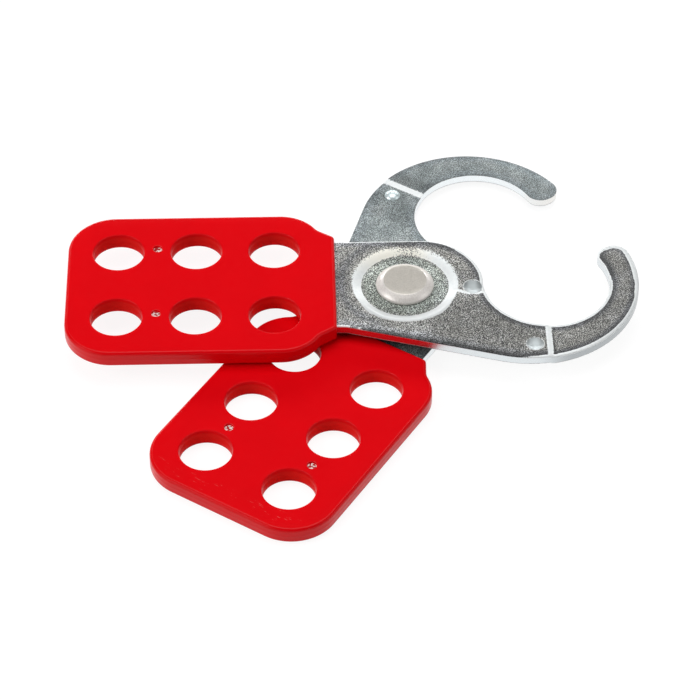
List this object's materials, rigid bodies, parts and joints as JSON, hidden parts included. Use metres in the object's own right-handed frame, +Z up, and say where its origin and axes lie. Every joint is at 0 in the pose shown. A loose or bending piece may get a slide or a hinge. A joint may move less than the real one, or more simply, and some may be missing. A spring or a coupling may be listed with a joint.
{
  "type": "scissor lockout hasp",
  "caption": "Scissor hasp of two pressed steel arms riveted at a dished pivot, with round jaws and vinyl grips that take padlocks through aligned holes.",
  "frame": {"origin": "on the pivot axis, at the underside of the rivet's lower head", "axes": "+X along the upper arm from the pivot to its jaw, +Z up along the pivot axis"},
  "size_m": [0.1126, 0.1045, 0.0071],
  "materials": {
    "zinc_steel": "speckled zinc plating",
    "red_vinyl": "satin moulded vinyl",
    "rivet_steel": "satin"
  },
  "bodies": {
    "lower": {"lower_arm": "zinc_steel", "lower_grip": "red_vinyl", "pivot_rivet": "rivet_steel"},
    "upper": {"upper_arm": "zinc_steel", "upper_grip": "red_vinyl"}
  },
  "joints": [
    {"name": "pivot", "type": "hinge", "parent": "lower", "child": "upper", "pos_m": [0, 0, 0.00355], "axis": [0, 0, 1], "range_deg": [-45, 56.5]}
  ]
}
